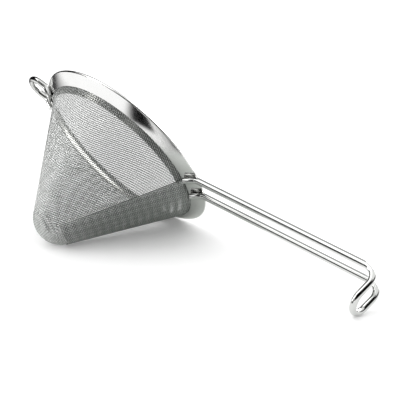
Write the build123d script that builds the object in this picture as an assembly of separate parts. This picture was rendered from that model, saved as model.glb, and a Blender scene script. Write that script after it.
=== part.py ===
from build123d import *
import os
from math import asin, atan2, cos, degrees, hypot, pi, radians, sin, sqrt, tan

# Chinois strainer: a pressed cone of stainless wire cloth, clinched into a flared collar,
# with a hairpin handle that ends in a hook and a small rest loop. It lies on a table as it
# does when put down: on the collar's edge, the rounded tip of the cone and the hook.
# Lengths are in millimetres and angles in degrees.

# Driving sizes of the collar and the ring inside it
opening_diameter = 200.0        # over the rolled edge
flare_width = 12.1              # from the rolled edge in to the collar's foot, seen from above
collar_slope = 30.5             # of the flare, above the plane of the opening
collar_sheet = 0.7
ring_sheet = 0.6
hem_lip = 2.6                   # how far the rolled edge folds back inside
skirt_length = 6.8              # of the inner ring, down along the cone
layer_gap = 0.05                # between the layers that the collar clinches

# Driving sizes of the cone of cloth
cloth_thickness = 0.5
cone_half_angle = 32.2
tip_radius = 26.2               # outside, of the rounded tip
mesh_columns = 20               # openings round the cone, which stand for the cloth's fine mesh
mesh_rows = 6
mesh_open_share = 0.8           # of each opening's place, both ways
mesh_top_margin = 2.0           # between the inner ring and the topmost openings

# Driving sizes of the round wire, and its seat under the collar
wire_diameter = 6.0
weld_gap = 0.05                 # between the wire and the sheet at the weld
stub_setback = 1.5              # from the collar's lower edge to the wire's cut end
stub_bend_radius = 9.0
wire_end_round = 0.8

# Driving sizes of the handle
handle_reach = 203.6            # from the collar's edge to the far side of the hook
handle_spacing = 23.8           # between the two legs' centre lines
handle_height = 4.5             # of the legs' centre lines above the collar's foot
hook_angle = 97.0               # turned through by the bend, a little past a right angle
hook_bend_radius = 12.8
hook_length = 39.2              # along the hook, from the legs' centre lines to its far side

# Driving sizes of the rest loop
loop_reach = 23.5               # from the collar's edge to the far side of the loop
loop_spacing = 23.4
loop_height = 4.1
loop_bearing = 156.3            # from the handle, clockwise looking into the opening

# Worked out from the driving sizes
opening_radius = opening_diameter / 2
foot_radius = opening_radius - flare_width
wire_radius = wire_diameter / 2
slope = radians(collar_slope)
half_angle = radians(cone_half_angle)
hook_turn = radians(hook_angle)
wire_lift = wire_radius + weld_gap
hem_radius = (2 * collar_sheet + cloth_thickness + ring_sheet + 3 * layer_gap) / 2
flare_length = (flare_width - hem_radius * (1 - sin(slope))) / cos(slope)
cloth_offset = collar_sheet + layer_gap
ring_offset = cloth_offset + cloth_thickness + layer_gap
hem_centre_radius = opening_radius - hem_radius
hem_centre_height = flare_length * sin(slope) + hem_radius * cos(slope)
cloth_radius_at_foot = foot_radius - cloth_offset / cos(half_angle)
tip_centre_height = -(cloth_radius_at_foot - tip_radius / cos(half_angle)) / tan(half_angle)


def on_flare(along, inward):
    # Point of a profile, along the flare from the collar's foot and in from its outside.
    return (
        foot_radius + along * cos(slope) - inward * sin(slope),
        along * sin(slope) + inward * cos(slope),
    )


def on_cone(along, inward):
    # The same below the foot, down along the cone.
    return (
        foot_radius - along * sin(half_angle) - inward * cos(half_angle),
        -along * cos(half_angle) + inward * sin(half_angle),
    )


def at_fold(inward):
    # Where a layer folds from the flare to the cone: its two straight sides meet there.
    normal_sum = (-sin(slope) - cos(half_angle), cos(slope) + sin(half_angle))
    stretch = inward / (1 + sin(slope) * cos(half_angle) + cos(slope) * sin(half_angle))
    return (foot_radius + stretch * normal_sum[0], stretch * normal_sum[1])


def turned(outline):
    # Solid of revolution about the strainer's axis, from a closed outline of curves.
    return revolve(Plane.XZ * make_face(outline), Axis.Z)


def rim_collar():
    # Flared sheet whose upper edge is rolled over the cloth and the inner ring.
    hem = 2 * hem_radius
    lip = flare_length - hem_lip
    outside = Line(on_flare(0, 0), on_flare(flare_length, 0))
    roll = ThreePointArc(
        outside @ 1,
        on_flare(flare_length + hem_radius, hem_radius),
        on_flare(flare_length, hem),
    )
    fold = Polyline(
        roll @ 1,
        on_flare(lip, hem),
        on_flare(lip, hem - collar_sheet),
        on_flare(flare_length, hem - collar_sheet),
    )
    inner_roll = ThreePointArc(
        fold @ 1,
        on_flare(flare_length + hem_radius - collar_sheet, hem_radius),
        on_flare(flare_length, collar_sheet),
    )
    inside = Polyline(inner_roll @ 1, on_flare(0, collar_sheet), on_flare(0, 0))
    return turned(outside + roll + fold + inner_roll + inside)


def inner_ring():
    # Flared ring inside the cloth, with a skirt that backs the top of the cone.
    inner = ring_offset + ring_sheet
    outline = Polyline(
        on_flare(flare_length, ring_offset),
        at_fold(ring_offset),
        on_cone(skirt_length, ring_offset),
        on_cone(skirt_length, inner),
        at_fold(inner),
        on_flare(flare_length, inner),
        close=True,
    )
    return turned(outline)


def tip_arc(radius, falling):
    # Quarter profile of the rounded tip, between the cone's side and the axis.
    side = (radius * cos(half_angle), tip_centre_height - radius * sin(half_angle))
    half_way = (pi / 2 + half_angle) / 2
    middle = (radius * cos(half_way), tip_centre_height - radius * sin(half_way))
    pole = (0, tip_centre_height - radius)
    ends = (side, middle, pole) if falling else (pole, middle, side)
    return ThreePointArc(*ends)


def mesh_cone():
    # The cloth as one thin shell: flared margin, straight cone with openings and rounded tip.
    inner = cloth_offset + cloth_thickness
    outer_tip = tip_arc(tip_radius, True)
    inner_tip = tip_arc(tip_radius - cloth_thickness, False)
    outside = Polyline(
        on_flare(flare_length, cloth_offset), at_fold(cloth_offset), outer_tip @ 0
    )
    pole = Line(outer_tip @ 1, inner_tip @ 0)
    inside = Polyline(inner_tip @ 1, at_fold(inner), on_flare(flare_length, inner))
    margin = Line(inside @ 1, outside @ 0)
    shell = turned(outside + outer_tip + pole + inner_tip + inside + margin)
    return shell - mesh_openings()


def mesh_openings():
    # One column of cutters down the side of the cone, repeated all round.
    clear = cloth_offset + cloth_thickness
    side_length = foot_radius - cloth_offset * cos(half_angle) - tip_radius * cos(half_angle)
    side_end = side_length / sin(half_angle)
    top = skirt_length + mesh_top_margin
    row_pitch = (side_end - top) / mesh_rows
    opening_angle = degrees(2 * pi) * mesh_open_share / mesh_columns
    column = []
    for row in range(mesh_rows):
        start = top + row * row_pitch
        end = start + row_pitch * mesh_open_share
        outline = Polyline(
            on_cone(start, -clear),
            on_cone(end, -clear),
            on_cone(end, 2 * clear),
            on_cone(start, 2 * clear),
            close=True,
        )
        column.append(revolve(Plane.XZ * make_face(outline), Axis.Z, opening_angle))
    turns = [Rot(0, 0, index * degrees(2 * pi) / mesh_columns) for index in range(mesh_columns)]
    return [turn * cutter for turn in turns for cutter in column]


def under_flare(side, distance_out, height):
    # Point of a leg's centre line that lies a given distance from the strainer's axis.
    return Vector(sqrt(distance_out**2 - side**2), side, height)


def leg_start(side):
    # The cut end of a leg, near the collar's foot.
    distance_out, height = on_flare(stub_setback, -wire_lift)
    return under_flare(side, distance_out, height)


def leg_corner(side, height):
    # Where a leg that lies at this height leaves the flare and runs straight out.
    distance_out = foot_radius + (wire_lift + height * cos(slope)) / sin(slope)
    return under_flare(side, distance_out, height)


def bent_wire(leg, crown, other_leg):
    # Round wire swept along two legs and the half turn that joins them.
    path = Wire(leg.edges() + crown.edges() + other_leg.edges())
    section = Plane(origin=path @ 0, z_dir=path % 0) * Circle(wire_radius)
    wire = sweep(section, path=path)
    cut_ends = wire.faces().filter_by(GeomType.PLANE)
    return fillet(cut_ends.edges(), wire_end_round)


def along_hook(distance):
    # Point on the handle's middle plane, along the hook from where the legs' lines meet it.
    bend_start = handle_reach - wire_radius - hook_bend_radius
    meeting = opening_radius + bend_start + hook_bend_radius * tan(hook_turn / 2)
    height = handle_height - distance * sin(hook_turn)
    return Vector(meeting + distance * cos(hook_turn), 0, height)


def handle_wire():
    crown_radius = handle_spacing / 2
    crown_start = hook_length - wire_radius - crown_radius

    def leg(side):
        across = Vector(0, side, 0)
        return FilletPolyline(
            leg_start(side),
            leg_corner(side, handle_height),
            along_hook(0) + across,
            along_hook(crown_start) + across,
            radius=[stub_bend_radius, hook_bend_radius],
        )

    near_leg = leg(crown_radius)
    far_leg = leg(-crown_radius)
    crown = ThreePointArc(near_leg @ 1, along_hook(crown_start + crown_radius), far_leg @ 1)
    return bent_wire(near_leg, crown, far_leg)


def rest_loop():
    crown_radius = loop_spacing / 2
    far = opening_radius + loop_reach - wire_radius - crown_radius

    def leg(side):
        return FilletPolyline(
            leg_start(side),
            leg_corner(side, loop_height),
            Vector(far, side, loop_height),
            radius=stub_bend_radius,
        )

    near_leg = leg(crown_radius)
    far_leg = leg(-crown_radius)
    crown = ThreePointArc(near_leg @ 1, Vector(far + crown_radius, 0, loop_height), far_leg @ 1)
    loop = bent_wire(near_leg, crown, far_leg)
    return Rot(0, 0, -loop_bearing) * loop


def table_plane():
    # The table under the strainer at rest, in the strainer's own frame.
    # The collar's edge and the rounded tip both touch it at one tilt of the axis.
    run = hem_centre_height - tip_centre_height
    swing = asin((tip_radius - hem_radius) / hypot(hem_centre_radius, run))
    tilt = atan2(hem_centre_radius, run) - swing
    # The strainer then rolls on the collar's edge until the hook's half turn touches too.
    crown_radius = handle_spacing / 2
    hook = along_hook(hook_length - wire_radius - crown_radius)
    fall = 0
    for step in range(20):
        lean = fall * sin(hook_turn) + sin(tilt) * cos(hook_turn)
        hook_drop = crown_radius * sqrt(1 - lean**2) + wire_radius
        fall = (sin(tilt) * (tip_centre_height - hook.Z) + hook_drop - tip_radius) / hook.X
    up = Vector(fall, -sqrt(cos(tilt) ** 2 - fall**2), sin(tilt))
    along = Vector(1, 0, 0) - up * fall
    touching = Vector(0, 0, tip_centre_height) - up * tip_radius
    return Plane(origin=touching, x_dir=along, z_dir=up)


def at_rest(pieces):
    # Lays the pieces on the table, with the origin under the middle of their outline.
    table = table_plane()
    laid = {name: table.to_local_coords(piece) for name, piece in pieces.items()}
    middle = Compound(list(laid.values())).bounding_box().center()
    centred = Pos(-middle.X, -middle.Y, 0)
    return {name: centred * piece for name, piece in laid.items()}


pieces = {
    "rim_collar": rim_collar(),
    "inner_ring": inner_ring(),
    "mesh_cone": mesh_cone(),
    "handle": handle_wire(),
    "rest_loop": rest_loop(),
}

os.makedirs("parts", exist_ok=True)
for name, piece in at_rest(pieces).items():
    export_step(piece, f"parts/{name}.step")
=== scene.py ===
from math import asin, atan2, ceil, cos, hypot, pi, radians, sin, sqrt, tan

import bpy
import numpy as np
from mathutils import Matrix, Vector


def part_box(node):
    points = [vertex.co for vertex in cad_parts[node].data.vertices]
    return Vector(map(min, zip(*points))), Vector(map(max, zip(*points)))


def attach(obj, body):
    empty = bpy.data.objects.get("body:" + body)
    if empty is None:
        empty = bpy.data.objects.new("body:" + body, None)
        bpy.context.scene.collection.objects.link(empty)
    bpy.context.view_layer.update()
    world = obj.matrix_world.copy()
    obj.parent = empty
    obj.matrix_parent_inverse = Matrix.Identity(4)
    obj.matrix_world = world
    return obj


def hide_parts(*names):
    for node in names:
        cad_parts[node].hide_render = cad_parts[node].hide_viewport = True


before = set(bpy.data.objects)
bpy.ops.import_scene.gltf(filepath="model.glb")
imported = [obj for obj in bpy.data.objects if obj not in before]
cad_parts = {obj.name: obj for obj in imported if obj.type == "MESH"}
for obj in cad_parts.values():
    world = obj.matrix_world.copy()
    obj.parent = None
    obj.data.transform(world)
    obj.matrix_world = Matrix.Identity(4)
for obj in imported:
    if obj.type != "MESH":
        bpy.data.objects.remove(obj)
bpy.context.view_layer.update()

# Chinois strainer of stainless steel. It is modelled upright in its own frame, in millimetres,
# with the axis of the cone along Z and the collar's foot at height zero. It is then laid on
# the table on the collar's edge, the tip of the cone and the hook. The studio is in metres.

# Collar and the ring inside it
opening_diameter = 200.0        # over the rolled edge
flare_width = 12.1              # from the rolled edge in to the foot, seen from above
collar_slope = radians(30.5)    # of the flare, above the plane of the opening
collar_sheet = 0.7
ring_sheet = 0.6
hem_lip = 2.6                   # how far the rolled edge folds back inside
skirt_length = 6.8              # of the ring, down along the cone
layer_gap = 0.05
sheet_edge_round = 0.12

# Cone of cloth
cloth_thickness = 0.5
half_angle = radians(32.2)
tip_radius = 26.2               # outside, of the rounded tip
cloth_pitch = 1.65              # between neighbouring wires
cloth_wire = 0.3                # thickness of a wire, which is wider than it is thick
warp_width = 0.95
weft_width = 0.5
cloth_margin = 3.0              # past the fold, out between the collar and the ring
weave_turn = radians(37)        # of the wires, on the flat sector
seam_bearing = radians(115)     # of the seam, from the handle
seam_lap = 3.0

# Second layer of cloth, round the underside from a straight cut beside one generator
lap_rise = 0.65                 # between the middles of the two layers
lap_width = 15.5                # from the cut to the generator
lap_generator = radians(4.5)
lap_far_edge = radians(60)

# Round wire and the welds under the collar
wire_diameter = 6.0
weld_gap = 0.05
stub_setback = 1.5              # from the collar's foot to the cut end
stub_bend_radius = 9.0
wire_end_round = 0.8

# Handle
handle_reach = 203.6            # from the collar's edge to the far side of the hook
handle_spacing = 23.8           # between the legs' centre lines
handle_height = 4.5             # of the legs above the collar's foot
hook_turn = radians(97.0)
hook_bend_radius = 12.8
hook_length = 39.2              # from the legs' centre lines to its far side

# Rest loop
loop_reach = 23.5               # from the collar's edge to the far side of the loop
loop_spacing = 23.4
loop_height = 4.1
loop_bearing = radians(156.3)   # from the handle, clockwise looking into the opening

# How finely the forms are divided
sheet_steps = 192
wire_sides = 32
woven_wire_sides = 4
sheet_edge_segments = 2
wire_end_segments = 4
cloth_panels = 4
settling_rounds = 20
bend_step = radians(5)
smooth_angle = radians(35)
sharp_angle = radians(60)
merge_distance = 0.001

# Patterns in the steel's surface. The real marks of polishing and drawing are far too fine to
# show, and are drawn as coarse as they need to be to make the reflections a little uneven.
cloth_grain = 2.0
wire_grain = 2.5
sheet_grain = 3.333
cloud_size = 45.45
grain_depth = 0.02
drawn_along_share = 0.05        # of the grain's fineness, along the handle
cloud_dark_share = 0.3
cloud_light_share = 0.55

# Worked out from the sizes above
millimetre = 0.001
opening_radius = opening_diameter / 2
foot_radius = opening_radius - flare_width
wire_radius = wire_diameter / 2
wire_lift = wire_radius + weld_gap
hem_radius = (2 * collar_sheet + cloth_thickness + ring_sheet + 3 * layer_gap) / 2
flare_length = (flare_width - hem_radius * (1 - sin(collar_slope))) / cos(collar_slope)
cloth_offset = collar_sheet + layer_gap
ring_offset = cloth_offset + cloth_thickness + layer_gap
hem_centre_radius = opening_radius - hem_radius
hem_centre_height = flare_length * sin(collar_slope) + hem_radius * cos(collar_slope)
cloth_radius_at_foot = foot_radius - cloth_offset / cos(half_angle)
tip_centre_height = -(cloth_radius_at_foot - tip_radius / cos(half_angle)) / tan(half_angle)

# Studio, in metres: a white table, soft light, and cards and softboxes that show only in the
# metal
table_reach = 12.0
table_glow = 0.08
white = (1, 1, 1, 1)

# Cards that lie on the table: material, colour, low and high X, low and high Y, height, and
# soft edges, each with its axis, where the card is clear and where it is full
lying_cards = {
    # Painted shade: a black card in front of the strainer and to its right that stands for its
    # shadow on the table, seen only in the metal.
    "front_painted_shade_card": (
        "front_painted_shade_black", "#0A0A0A", (-0.04, 0.21), (-0.43, -0.04), 0.0005,
        [("X", -0.03, 0), ("X", 0.2, 0.16), ("Y", -0.05, -0.09), ("Y", -0.42, -0.38)],
    ),
    # Painted shade: a grey card under the strainer that stands for its shadow on the table, seen
    # only in the metal.
    "under_painted_shade_card": (
        "under_painted_shade_grey", "#DADEDA", (-0.11, 0.06), (-0.1, 0.17), 0.0009,
        [("X", -0.1, -0.05), ("X", 0.05, 0.02), ("Y", -0.09, -0.03), ("Y", 0.16, 0.1)],
    ),
    "patch_dark_card": (
        "patch_black_card", "#0A0A0A", (-0.18, -0.04), (-table_reach, -0.09), 0.0007,
        [("X", -0.17, -0.125), ("X", -0.048, -0.072), ("Y", -0.1, -0.13)],
    ),
    "left_dark_card": (
        "left_dark_grey_card", "#303030", (-1.2, -0.3), (-0.12, 0.6), 0.0007,
        [("X", -0.3, -0.45), ("Y", -0.12, 0.03)],
    ),
    "collar_grey_card": (
        "collar_light_grey_card", "#D6D6D6", (-0.07, 0.07), (-0.22, -0.03), 0.0003,
        [("X", -0.065, -0.03), ("X", 0.07, 0.04), ("Y", -0.22, -0.15), ("Y", -0.03, -0.06)],
    ),
}

# Cards that stand upright: both ends of the foot, then the heights of the foot and the top
standing_cards = {
    "front_left_black_flag": ((-0.33, -0.445), (-0.07, -0.595), 0, 0.29),
    "left_black_card": ((-0.9, -0.5), (-0.87, 0.5), 0, 0.2),
    "back_left_black_card": ((-0.87, 0.5), (-0.36, 0.93), 0, 0.4),
    "left_softbox": ((-0.8, -1.1), (-1.06, -0.68), 0, 0.8),
    "back_left_grey_card": ((-1.45, 0.39), (-0.32, 1.5), 0.3, 2.6),
    "far_left_black_card": ((-1.3, 0.05), (-0.95, 0.84), 0, 2.2),
    # Painted shade: a black card close to the strainer's upper left, which darkens the cloth there
    # in reflections as shade would.
    "near_left_painted_shade_card": ((-0.3, 0.02), (-0.22, -0.16), 0.13, 0.27),
    "back_softbox": ((-0.31, 1.4), (0.6, 1.4), 0, 1.8),
}
glowing_cards = {
    "left_softbox": ("left_softbox_cloth", 8.0),
    "back_left_grey_card": ("back_grey_cloth", 0.3),
    "back_softbox": ("back_softbox_cloth", 7.0),
}

# Black screen behind the camera, which the wire reflects
screen_middle = Vector((0.78, -0.928, 0.7))
screen_across = Vector((0.919, 0.772, 0))
screen_half_height = 0.9

# Overhead lamp, and the light from all round
lamp_heading = Vector((-0.45, -0.4, 0.8))
lamp_strength = 0.6
lamp_spread = radians(50)
fill_strength = 1.04
ceiling_strength = 1.15
horizon_tone = 0.03
ceiling_back_lean = 0.2         # the back counts as this much higher
ceiling_right_fall = 0.9        # and the right as this much lower
horizon_share = 0.5             # where the level lies between black and white
dark_below_share = 0.25
white_above_share = 0.55

# Camera, fitted to the strainer's outline in the photograph
camera_lens = 88.741
camera_place = (0.56945, -0.64947, 0.33839)
camera_turn = (radians(71.861), radians(-1.325), radians(40.621))
near_clip = 0.05
far_clip = 50.0

X_AXIS = Vector((1, 0, 0))
Y_AXIS = Vector((0, 1, 0))
Z_AXIS = Vector((0, 0, 1))


def on_flare(along, inward):
    # Point of a profile, along the flare from the collar's foot and in from its outside.
    radius = foot_radius + along * cos(collar_slope) - inward * sin(collar_slope)
    return Vector((radius, 0, along * sin(collar_slope) + inward * cos(collar_slope)))


def on_cone(along, inward):
    # The same below the foot, down along the cone.
    radius = foot_radius - along * sin(half_angle) - inward * cos(half_angle)
    return Vector((radius, 0, -along * cos(half_angle) + inward * sin(half_angle)))


def at_fold(inward):
    # Where a layer folds from the flare to the cone.
    stretch = inward / (1 + sin(collar_slope + half_angle))
    outward = -sin(collar_slope) - cos(half_angle)
    upward = cos(collar_slope) + sin(half_angle)
    return Vector((foot_radius + stretch * outward, 0, stretch * upward))


def along_hook(distance):
    # Point on the handle's middle plane, along the hook from where the legs' lines meet it.
    bend_start = handle_reach - wire_radius - hook_bend_radius
    meeting = opening_radius + bend_start + hook_bend_radius * tan(hook_turn / 2)
    height = handle_height - distance * sin(hook_turn)
    return Vector((meeting + distance * cos(hook_turn), 0, height))


def resting_pose():
    # From the strainer's own frame, in millimetres, to the table, in metres. The collar and
    # the tip set its tilt, and how far the hook falls to the table is settled in rounds.
    run = hem_centre_height - tip_centre_height
    swing = asin((tip_radius - hem_radius) / hypot(hem_centre_radius, run))
    tilt = atan2(hem_centre_radius, run) - swing
    crown_radius = handle_spacing / 2
    hook = along_hook(hook_length - wire_radius - crown_radius)
    fall = 0
    for _ in range(settling_rounds):
        lean = fall * sin(hook_turn) + sin(tilt) * cos(hook_turn)
        hook_drop = crown_radius * sqrt(1 - lean**2) + wire_radius
        fall = (sin(tilt) * (tip_centre_height - hook.z) + hook_drop - tip_radius) / hook.x
    up = Vector((fall, -sqrt(cos(tilt) ** 2 - fall**2), sin(tilt)))
    along = (X_AXIS - up * fall).normalized()
    turn = Matrix((along, up.cross(along), up)).to_4x4()
    low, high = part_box("rim_collar")
    hem_centre = turn @ Vector((0, 0, hem_centre_height)) * millimetre
    place = Matrix.Translation((low + high) / 2 - hem_centre)
    return place @ turn @ Matrix.Scale(millimetre, 4)


pose = resting_pose()


# Modelling by hand
def start_vertex(name, place):
    # A new mesh of one selected vertex, open for editing.
    bpy.ops.object.select_all(action="DESELECT")
    bpy.ops.mesh.primitive_plane_add()
    bpy.context.object.name = name
    bpy.ops.object.mode_set(mode="EDIT")
    bpy.ops.mesh.merge(type="CENTER")
    bpy.ops.transform.translate(value=place)


def start_ring(name, place, heading, radius, sides):
    # A new mesh of one selected ring that faces along the heading, open for editing.
    turn = heading.to_track_quat("Z", "Y").to_euler()
    bpy.ops.object.select_all(action="DESELECT")
    bpy.ops.mesh.primitive_circle_add(
        vertices=sides, radius=radius, location=place, rotation=turn
    )
    bpy.context.object.name = name
    bpy.ops.object.transform_apply(location=True, rotation=True, scale=True)
    bpy.ops.object.mode_set(mode="EDIT")
    bpy.ops.mesh.select_all(action="SELECT")


def draw_straight(run):
    bpy.ops.mesh.extrude_region_move(TRANSFORM_OT_translate={"value": run})


def draw_bend(centre, axis, angle):
    # Spin turns clockwise about its axis, so the angle changes sign.
    steps = ceil(abs(angle) / bend_step)
    bpy.ops.mesh.spin(steps=steps, angle=-angle, center=centre, axis=axis)


def close_editing():
    # Joins doubled points, points the faces outwards and goes back to object mode.
    bpy.ops.mesh.select_all(action="SELECT")
    bpy.ops.mesh.remove_doubles(threshold=merge_distance)
    bpy.ops.mesh.normals_make_consistent(inside=False)
    bpy.ops.object.mode_set(mode="OBJECT")
    return bpy.context.object


def round_edges(piece, width, segments):
    bevel = piece.modifiers.new("edge round", "BEVEL")
    bevel.width = width
    bevel.segments = segments
    bevel.limit_method = "ANGLE"
    bevel.angle_limit = sharp_angle
    bpy.ops.object.modifier_apply(modifier=bevel.name)


def lay_down(piece, node, finish):
    # Puts a piece made upright on the table, in place of its solid.
    piece.data.transform(pose)
    bpy.ops.object.select_all(action="DESELECT")
    piece.select_set(True)
    bpy.context.view_layer.objects.active = piece
    bpy.ops.object.shade_smooth_by_angle(angle=smooth_angle)
    piece.data.materials.append(finish)
    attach(piece, "root")
    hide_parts(node)


# Sheet parts, turned about the axis
def draw_through(places):
    for start, end in zip(places, places[1:]):
        draw_straight(end - start)


def turn_profile():
    # Turns the profile that is being edited once round the axis of the cone.
    bpy.ops.mesh.select_all(action="SELECT")
    bpy.ops.mesh.spin(steps=sheet_steps, angle=2 * pi, center=(0, 0, 0), axis=Z_AXIS)


def rim_collar(finish):
    # Flared sheet whose upper edge is rolled over the cloth and the inner ring.
    hem = 2 * hem_radius
    lip = flare_length - hem_lip
    roll_centre = on_flare(flare_length, hem_radius)
    fold_back = [
        on_flare(flare_length, hem),
        on_flare(lip, hem),
        on_flare(lip, hem - collar_sheet),
        on_flare(flare_length, hem - collar_sheet),
    ]
    foot = [on_flare(flare_length, collar_sheet), on_flare(0, collar_sheet), on_flare(0, 0)]
    start_vertex("rim_collar_sheet", on_flare(0, 0))
    draw_through([on_flare(0, 0), on_flare(flare_length, 0)])
    draw_bend(roll_centre, -Y_AXIS, pi)
    draw_through(fold_back)
    draw_bend(roll_centre, Y_AXIS, pi)
    draw_through(foot)
    turn_profile()
    collar = close_editing()
    round_edges(collar, sheet_edge_round, sheet_edge_segments)
    lay_down(collar, "rim_collar", finish)


def inner_ring(finish):
    # Flared ring inside the cloth, with a skirt that backs the top of the cone.
    inner = ring_offset + ring_sheet
    outline = [
        on_flare(flare_length, ring_offset),
        at_fold(ring_offset),
        on_cone(skirt_length, ring_offset),
        on_cone(skirt_length, inner),
        at_fold(inner),
        on_flare(flare_length, inner),
        on_flare(flare_length, ring_offset),
    ]
    start_vertex("inner_ring_sheet", outline[0])
    draw_through(outline)
    turn_profile()
    ring = close_editing()
    round_edges(ring, sheet_edge_round, sheet_edge_segments)
    lay_down(ring, "inner_ring", finish)


# Round wire, pushed along its runs and spun round its bends
def follow(corners, radii):
    place = corners[0]
    for corner, following, radius in zip(corners[1:], corners[2:], radii):
        into = (corner - place).normalized()
        out = (following - corner).normalized()
        turn = into.angle(out)
        reach = radius * tan(turn / 2)
        inward = (out - into * into.dot(out)).normalized()
        bend_start = corner - into * reach
        if (bend_start - place).length > merge_distance:
            draw_straight(bend_start - place)
        draw_bend(bend_start + inward * radius, into.cross(out), turn)
        place = corner + out * reach
    draw_straight(corners[-1] - place)


def bent_wire(name, corners, radii):
    # Round wire with closed, slightly rounded cut ends.
    start_ring(name, corners[0], corners[1] - corners[0], wire_radius, wire_sides)
    follow(corners, radii)
    bpy.ops.mesh.select_all(action="DESELECT")
    bpy.ops.mesh.select_non_manifold()
    bpy.ops.mesh.fill()
    wire = close_editing()
    round_edges(wire, wire_end_round, wire_end_segments)
    return wire


def under_flare(side, distance_out, height):
    # Point of a leg's centre line that lies a given distance from the strainer's axis.
    return Vector((sqrt(distance_out**2 - side**2), side, height))


def leg_start(side):
    # The cut end of a leg, near the collar's foot.
    place = on_flare(stub_setback, -wire_lift)
    return under_flare(side, place.x, place.z)


def leg_corner(side, height):
    # Where a leg that lies at this height leaves the flare and runs straight out.
    lift = wire_lift + height * cos(collar_slope)
    return under_flare(side, foot_radius + lift / sin(collar_slope), height)


def handle(finish):
    # Hairpin whose far end is bent down to a hook.
    side = handle_spacing / 2
    across = Y_AXIS * side
    crown = along_hook(hook_length - wire_radius)
    corners = [
        leg_start(side),
        leg_corner(side, handle_height),
        along_hook(0) + across,
        crown + across,
        crown - across,
        along_hook(0) - across,
        leg_corner(-side, handle_height),
        leg_start(-side),
    ]
    radii = [stub_bend_radius, hook_bend_radius, side, side, hook_bend_radius, stub_bend_radius]
    lay_down(bent_wire("handle_wire", corners, radii), "handle", finish)


def rest_loop(finish):
    # Short hairpin on the other side, turned round to its bearing.
    side = loop_spacing / 2
    far = opening_radius + loop_reach - wire_radius
    corners = [
        leg_start(side),
        leg_corner(side, loop_height),
        Vector((far, side, loop_height)),
        Vector((far, -side, loop_height)),
        leg_corner(-side, loop_height),
        leg_start(-side),
    ]
    radii = [stub_bend_radius, side, side, stub_bend_radius]
    turn = Matrix.Rotation(-loop_bearing, 3, "Z")
    wire = bent_wire("rest_loop_wire", [turn @ corner for corner in corners], radii)
    lay_down(wire, "rest_loop", finish)


# Woven wire cloth. It is laid out flat, with the cone's apex at the middle, and then wrapped.
cloth_rise = (cloth_thickness - cloth_wire) / 2
middle_tip_radius = tip_radius - cloth_thickness / 2
fold_at_middle = at_fold(cloth_offset + cloth_thickness / 2)
slant_at_fold = fold_at_middle.x / sin(half_angle)
slant_at_tip = middle_tip_radius / tan(half_angle)
half_sector = pi * sin(half_angle)


def weave_cell():
    # Two wires each way that pass over and under each other: their points, faces, and whether
    # each face is on a weft wire. One wire is drawn, and the other three are copies of it.
    start_ring("cloth_wire", (0, 0, cloth_rise), X_AXIS, cloth_wire / 2, woven_wire_sides)
    draw_straight((cloth_pitch, 0, -2 * cloth_rise))
    draw_straight((cloth_pitch, 0, 2 * cloth_rise))
    bpy.ops.object.mode_set(mode="OBJECT")
    wire = bpy.context.object
    places = [vertex.co.copy() for vertex in wire.data.vertices]
    quads = [list(face.vertices) for face in wire.data.polygons]
    bpy.data.objects.remove(wire)
    points, faces, weft = [], [], []
    for is_weft, width in ((False, warp_width), (True, weft_width)):
        for row in (0, 1):
            is_under = (row == 1) != is_weft
            start = len(points)
            for run, aside, height in places:
                across = aside * width / cloth_wire + row * cloth_pitch
                up = -height if is_under else height
                points.append((across, run, up) if is_weft else (run, across, up))
            for quad in quads:
                loop = [start + index for index in quad]
                faces.append(loop[::-1] if is_weft != is_under else loop)
                weft.append(float(is_weft))
    return np.array(points), np.array(faces), np.array(weft)


def sector_bearing(flat):
    # Bearing of flat cloth from the middle of its sector, with the weave turned in it.
    bearing = np.arctan2(flat[:, 1], flat[:, 0]) + weave_turn
    return (bearing + pi) % (2 * pi) - pi


def wrap_on_cone(flat):
    # Rolls flat cloth round the cone, and folds its margin out along the flare.
    slant = np.hypot(flat[:, 0], flat[:, 1])
    down = np.minimum(slant, slant_at_fold)
    margin = slant - down
    radius = down * sin(half_angle) + margin * cos(collar_slope) + flat[:, 2] * cos(half_angle)
    height = (down - slant_at_fold) * cos(half_angle) + margin * sin(collar_slope)
    height = height + fold_at_middle.z - flat[:, 2] * sin(half_angle)
    bearing = sector_bearing(flat) / sin(half_angle) + seam_bearing + pi
    return np.stack([radius * np.cos(bearing), radius * np.sin(bearing), height], 1)


def wrap_on_tip(flat):
    # Presses flat cloth over the round tip.
    angle = np.hypot(flat[:, 0], flat[:, 1]) / middle_tip_radius
    bearing = np.arctan2(flat[:, 1], flat[:, 0])
    radius = middle_tip_radius + flat[:, 2]
    out = radius * np.sin(angle)
    height = tip_centre_height - radius * np.cos(angle)
    return np.stack([out * np.cos(bearing), out * np.sin(bearing), height], 1)


def cloth_piece(name, cell, corners, wrap, finish):
    # Repeats the cell at the corners as one mesh, wraps it and marks which wires are weft.
    points, faces, weft = cell
    count = len(corners)
    flat = (corners[:, None, :] + points[None, :, :]).reshape(-1, 3)
    shift = (np.arange(count) * len(points))[:, None, None]
    quads = (faces[None, :, :] + shift).reshape(-1, 4)
    mesh = bpy.data.meshes.new(name)
    mesh.from_pydata(wrap(flat).tolist(), [], quads.tolist())
    mesh.shade_smooth()
    weft_mark = mesh.attributes.new("weft", "FLOAT", "FACE")
    weft_mark.data.foreach_set("value", np.tile(weft, count))
    piece = bpy.data.objects.new(name, mesh)
    bpy.context.scene.collection.objects.link(piece)
    mesh.transform(pose)
    mesh.materials.append(finish)
    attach(piece, "root")
    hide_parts("mesh_cone")


def flat_lattice(reach):
    # Corners of the cells of flat cloth, and how far out and round their middles lie.
    period = 2 * cloth_pitch
    count = ceil(reach / period)
    line = np.arange(-count, count) * period
    grid = np.stack(np.meshgrid(line, line, indexing="ij"), -1).reshape(-1, 2)
    corners = np.hstack([grid, np.zeros((len(grid), 1))])
    middles = grid + cloth_pitch
    return corners, np.hypot(middles[:, 0], middles[:, 1]), sector_bearing(middles)


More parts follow.
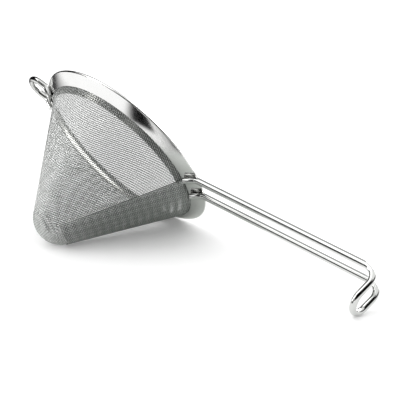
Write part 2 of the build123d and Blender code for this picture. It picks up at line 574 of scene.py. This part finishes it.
def cone_panels(cell, finish):
    # The cone's cloth from the round tip to the end of its margin, lapped at the seam.
    reach = slant_at_fold + cloth_margin
    corners, slant, bearing = flat_lattice(reach)
    past_seam = (np.abs(bearing) - half_sector) * slant
    kept = (slant > slant_at_tip) & (slant < reach) & (past_seam < seam_lap / 2)
    panel = ((bearing + half_sector) / (2 * half_sector) * cloth_panels).astype(int)
    panel = panel.clip(0, cloth_panels - 1)
    for number in range(cloth_panels):
        chosen = corners[kept & (panel == number)]
        cloth_piece(f"wire_cloth_{number + 1}", cell, chosen, wrap_on_cone, finish)


def underside_lap(cell, finish):
    # The second layer of cloth. It stops half a cell's diagonal short of the fold.
    corners, slant, bearing = flat_lattice(slant_at_fold + cloth_margin)
    cone_bearing = (bearing / sin(half_angle) + seam_bearing + 2 * pi) % (2 * pi) - pi
    past_generator = (cone_bearing - lap_generator) * sin(half_angle) * slant
    lapped = (past_generator > -lap_width) & (cone_bearing < lap_far_edge)
    half_diagonal = cloth_pitch * sqrt(2)
    kept = (slant > slant_at_tip) & (slant < slant_at_fold - half_diagonal) & lapped
    outside = np.array([0, 0, lap_rise])
    cloth_piece("wire_cloth_lap", cell, corners[kept] + outside, wrap_on_cone, finish)


def cloth_tip(cell, finish):
    # The cloth over the round tip, to half a pitch past where the cone begins.
    reach = middle_tip_radius * (pi / 2 - half_angle)
    corners, out, _ = flat_lattice(reach + cloth_pitch)
    kept = out < reach + cloth_pitch / 2
    cloth_piece("wire_cloth_tip", cell, corners[kept], wrap_on_tip, finish)


def woven_cloth(finish):
    cell = weave_cell()
    cone_panels(cell, finish)
    underside_lap(cell, finish)
    cloth_tip(cell, finish)


# Materials
def linear(code):
    # An sRGB hex colour as Blender's linear values, by the standard's two branches.
    channels = [int(code[place : place + 2], 16) / 255 for place in (1, 3, 5)]
    bright = [c / 12.92 if c <= 0.04045 else ((c + 0.055) / 1.055) ** 2.4 for c in channels]
    return (*bright, 1.0)


def add_node(material, kind, settings=None, links=None):
    # Adds a node, sets its properties and sockets, and links sockets to other nodes' outputs.
    tree = material.node_tree
    node = tree.nodes.new(kind)
    for key, value in (settings or {}).items():
        if isinstance(key, str) and hasattr(node, key):
            setattr(node, key, value)
        else:
            node.inputs[key].default_value = value
    for key, (source, output) in (links or {}).items():
        tree.links.new(source.outputs[output], node.inputs[key])
    return node


def new_material(name):
    material = bpy.data.materials.new(name)
    material.use_nodes = True
    material.node_tree.nodes.clear()
    return material


def per_metre(size):
    # Scale of a pattern whose grain has this size in millimetres.
    return 1 / (size * millimetre)


def woven_steel(name, shaded_warp_colour, highlit_weft_colour, rough_from, rough_to):
    # Woven stainless wire, soft grey. The weft wires get a painted highlight, a brighter colour
    # that draws fine bright lines, and the warp gets painted shade in a darker grey.
    material = new_material(name)
    place = add_node(material, "ShaderNodeTexCoord")
    grain = add_node(
        material,
        "ShaderNodeTexNoise",
        {"Scale": per_metre(cloth_grain), "Detail": 4.0},
        {"Vector": (place, "Object")},
    )
    rough = add_node(
        material,
        "ShaderNodeMapRange",
        {"To Min": rough_from, "To Max": rough_to},
        {"Value": (grain, "Fac")},
    )
    weft = add_node(material, "ShaderNodeAttribute", {"attribute_name": "weft"})
    # The weft mark picks the painted highlight colour, and the warp gets the painted shade colour.
    tone = add_node(material, "ShaderNodeValToRGB", {}, {"Fac": (weft, "Fac")})
    tone.color_ramp.elements[0].color = linear(shaded_warp_colour)
    tone.color_ramp.elements[1].color = linear(highlit_weft_colour)
    shader = add_node(
        material,
        "ShaderNodeBsdfPrincipled",
        {"Metallic": 1.0},
        {"Base Color": (tone, 0), "Roughness": (rough, 0)},
    )
    add_node(material, "ShaderNodeOutputMaterial", {}, {"Surface": (shader, 0)})
    return material


def steel(name, colour, dark_colour, rough_from, rough_to, grain_size, stretch):
    # Stainless steel with a fine grain in its gloss and faint clouds in its tone.
    material = new_material(name)
    place = add_node(material, "ShaderNodeTexCoord")
    mapped = add_node(
        material, "ShaderNodeMapping", {"Scale": stretch}, {"Vector": (place, "Object")}
    )
    grain = add_node(
        material,
        "ShaderNodeTexNoise",
        {"Scale": per_metre(grain_size), "Detail": 4.0, "Roughness": 0.6},
        {"Vector": (mapped, 0)},
    )
    cloud = add_node(
        material,
        "ShaderNodeTexNoise",
        {"Scale": per_metre(cloud_size), "Detail": 3.0},
        {"Vector": (place, "Object")},
    )
    tone = add_node(material, "ShaderNodeValToRGB", {}, {"Fac": (cloud, "Fac")})
    tone.color_ramp.elements[0].position = cloud_dark_share
    tone.color_ramp.elements[0].color = linear(dark_colour)
    tone.color_ramp.elements[1].position = cloud_light_share
    tone.color_ramp.elements[1].color = linear(colour)
    rough = add_node(
        material,
        "ShaderNodeMapRange",
        {"To Min": rough_from, "To Max": rough_to},
        {"Value": (grain, "Fac")},
    )
    bump = add_node(
        material,
        "ShaderNodeBump",
        {"Strength": 0.3, "Distance": grain_depth * millimetre},
        {"Height": (grain, "Fac")},
    )
    shader = add_node(
        material,
        "ShaderNodeBsdfPrincipled",
        {"Metallic": 1.0},
        {"Base Color": (tone, 0), "Roughness": (rough, 0), "Normal": (bump, 0)},
    )
    add_node(material, "ShaderNodeOutputMaterial", {}, {"Surface": (shader, 0)})
    return material


even_grain = (1, 1, 1)
drawn_grain = (drawn_along_share, 1, 1)

# Polished stainless sheet: bright and nearly a mirror, so that it shows the studio's edges.
polished_steel = steel(
    "polished_stainless_sheet", "#E5E5E4", "#DDDDDB", 0.1, 0.16, sheet_grain, even_grain
)
# Pressed stainless ring, not polished: darker, with blurred reflections.
ring_steel = steel(
    "pressed_stainless_ring", "#A6A6A2", "#9C9C98", 0.2, 0.28, sheet_grain, even_grain
)
# Bright drawn stainless wire: crisp white and black lines that run along it.
drawn_wire = steel(
    "bright_drawn_wire", "#D2D3D1", "#C6C7C5", 0.05, 0.09, wire_grain, drawn_grain
)
# Woven stainless wire of one kind: the warp is painted darker grey as painted shade and the weft
# painted bright as a painted highlight, both with soft reflections.
cloth_steel = woven_steel("woven_stainless_wire", "#868986", "#E6E7E6", 0.36, 0.48)


# The strainer
rim_collar(polished_steel)
inner_ring(ring_steel)
handle(drawn_wire)
rest_loop(drawn_wire)
woven_cloth(cloth_steel)


# Table, cards and screen
def flat_card(name, material, places):
    # One flat face, which belongs to the studio and not to the strainer.
    mesh = bpy.data.meshes.new(name)
    mesh.from_pydata(places, [], [list(range(len(places)))])
    mesh.materials.append(material)
    card = bpy.data.objects.new(name, mesh)
    bpy.context.scene.collection.objects.link(card)
    return card


def lying(x_span, y_span, height):
    (low_x, high_x), (low_y, high_y) = x_span, y_span
    corners = [(low_x, low_y), (high_x, low_y), (high_x, high_y), (low_x, high_y)]
    return [(*corner, height) for corner in corners]


def standing(start, end, low, high):
    return [(*start, low), (*end, low), (*end, high), (*start, high)]


def camera_screen():
    # Corners of the black screen, which faces the strainer squarely.
    up = screen_across.cross(screen_middle).normalized() * screen_half_height
    low, high = screen_middle - up, screen_middle + up
    corners = [low - screen_across, low + screen_across, high + screen_across, high - screen_across]
    return [tuple(corner) for corner in corners]


def only_in_reflections(card):
    card.visible_camera = False
    card.visible_diffuse = False
    card.visible_shadow = False
    card.visible_transmission = False


def table_material():
    # Matt white paper: the camera sees it as white where no shadow falls.
    material = new_material("white_paper_table")
    path = add_node(material, "ShaderNodeLightPath")
    paper = add_node(material, "ShaderNodeBsdfDiffuse", {"Color": linear("#FCFCFC")})
    seen = add_node(
        material,
        "ShaderNodeMath",
        {"operation": "MAXIMUM"},
        {0: (path, "Is Camera Ray"), 1: (path, "Is Glossy Ray")},
    )
    glow = add_node(
        material, "ShaderNodeMath", {"operation": "MULTIPLY", 1: table_glow}, {0: (seen, 0)}
    )
    lift = add_node(material, "ShaderNodeEmission", {"Color": white}, {"Strength": (glow, 0)})
    both = add_node(material, "ShaderNodeAddShader", {}, {0: (paper, 0), 1: (lift, 0)})
    add_node(material, "ShaderNodeOutputMaterial", {}, {"Surface": (both, 0)})
    return material


def black_material():
    # Black card: takes all light.
    material = new_material("black_card")
    shader = add_node(material, "ShaderNodeBsdfDiffuse", {"Color": linear("#0A0A0A")})
    add_node(material, "ShaderNodeOutputMaterial", {}, {"Surface": (shader, 0)})
    return material


def glow_material(name, strength):
    # Lit white cloth, which looks grey where it is weak.
    material = new_material(name)
    shader = add_node(material, "ShaderNodeEmission", {"Color": white, "Strength": strength})
    add_node(material, "ShaderNodeOutputMaterial", {}, {"Surface": (shader, 0)})
    return material


def soft_edged_material(name, colour, edges):
    # Card that clears towards each edge, so that its reflection fades out.
    material = new_material(name)
    place = add_node(material, "ShaderNodeTexCoord")
    split = add_node(material, "ShaderNodeSeparateXYZ", {}, {0: (place, "Object")})
    amount = None
    for axis, clear_at, full_at in edges:
        step = add_node(
            material,
            "ShaderNodeMapRange",
            {"interpolation_type": "SMOOTHSTEP", "From Min": clear_at, "From Max": full_at},
            {"Value": (split, axis)},
        )
        if amount:
            amount = add_node(
                material,
                "ShaderNodeMath",
                {"operation": "MULTIPLY"},
                {0: (amount, 0), 1: (step, 0)},
            )
        else:
            amount = step
    clear = add_node(material, "ShaderNodeBsdfTransparent")
    card = add_node(material, "ShaderNodeBsdfDiffuse", {"Color": linear(colour)})
    both = add_node(
        material, "ShaderNodeMixShader", {}, {0: (amount, 0), 1: (clear, 0), 2: (card, 0)}
    )
    add_node(material, "ShaderNodeOutputMaterial", {}, {"Surface": (both, 0)})
    return material


def set_out_cards():
    # The table, and all that lies and stands on it or behind the camera.
    whole = (-table_reach, table_reach)
    flat_card("table", table_material(), lying(whole, whole, 0))
    for name, (finish, colour, x_span, y_span, height, edges) in lying_cards.items():
        material = soft_edged_material(finish, colour, edges)
        only_in_reflections(flat_card(name, material, lying(x_span, y_span, height)))
    black = black_material()
    for name, place in standing_cards.items():
        material = glow_material(*glowing_cards[name]) if name in glowing_cards else black
        only_in_reflections(flat_card(name, material, standing(*place)))
    only_in_reflections(flat_card("black_screen_behind_camera", black, camera_screen()))


# Light and camera
def hang_lamp():
    lamp_data = bpy.data.lights.new("overhead_softbox", "SUN")
    lamp_data.energy = lamp_strength
    lamp_data.angle = lamp_spread
    lamp = bpy.data.objects.new("overhead_softbox", lamp_data)
    lamp.rotation_euler = lamp_heading.to_track_quat("Z", "Y").to_euler()
    bpy.context.scene.collection.objects.link(lamp)


def white_studio():
    # Even white light. In reflections the ceiling is white overhead and darkens towards the
    # horizon, sooner on the right and in front. The camera sees plain white.
    world = bpy.data.worlds.new("white_studio")
    world.use_nodes = True
    world.node_tree.nodes.clear()
    path = add_node(world, "ShaderNodeLightPath")
    heading = add_node(world, "ShaderNodeTexCoord")
    split = add_node(world, "ShaderNodeSeparateXYZ", {}, {0: (heading, "Generated")})
    height = add_node(
        world,
        "ShaderNodeMath",
        {"operation": "MULTIPLY_ADD", 1: ceiling_back_lean},
        {0: (split, "Y"), 2: (split, "Z")},
    )
    right_side = add_node(
        world, "ShaderNodeMath", {"operation": "MAXIMUM", 1: 0}, {0: (split, "X")}
    )
    height = add_node(
        world,
        "ShaderNodeMath",
        {"operation": "MULTIPLY_ADD", 1: -ceiling_right_fall},
        {0: (right_side, 0), 2: (height, 0)},
    )
    height = add_node(
        world, "ShaderNodeMath", {"operation": "ADD", 1: horizon_share}, {0: (height, 0)}
    )
    tone = add_node(world, "ShaderNodeValToRGB", {}, {"Fac": (height, 0)})
    tone.color_ramp.elements[0].position = dark_below_share
    tone.color_ramp.elements[0].color = (horizon_tone, horizon_tone, horizon_tone, 1)
    tone.color_ramp.elements[1].position = white_above_share
    tone.color_ramp.elements[1].color = white
    ceiling = add_node(
        world, "ShaderNodeBackground", {"Strength": ceiling_strength}, {"Color": (tone, 0)}
    )
    fill = add_node(
        world, "ShaderNodeBackground", {"Color": white, "Strength": fill_strength}
    )
    backdrop = add_node(world, "ShaderNodeBackground", {"Color": white})
    lit = add_node(
        world,
        "ShaderNodeMixShader",
        {},
        {0: (path, "Is Glossy Ray"), 1: (fill, 0), 2: (ceiling, 0)},
    )
    choice = add_node(
        world,
        "ShaderNodeMixShader",
        {},
        {0: (path, "Is Camera Ray"), 1: (lit, 0), 2: (backdrop, 0)},
    )
    add_node(world, "ShaderNodeOutputWorld", {}, {"Surface": (choice, 0)})
    bpy.context.scene.world = world


def set_camera():
    camera_data = bpy.data.cameras.new("camera")
    camera_data.lens = camera_lens
    camera_data.clip_start = near_clip
    camera_data.clip_end = far_clip
    camera = bpy.data.objects.new("camera", camera_data)
    camera.location = camera_place
    camera.rotation_euler = camera_turn
    bpy.context.scene.collection.objects.link(camera)
    bpy.context.scene.camera = camera


set_out_cards()
hang_lamp()
white_studio()
set_camera()
bpy.context.scene.view_settings.view_transform = "Standard"
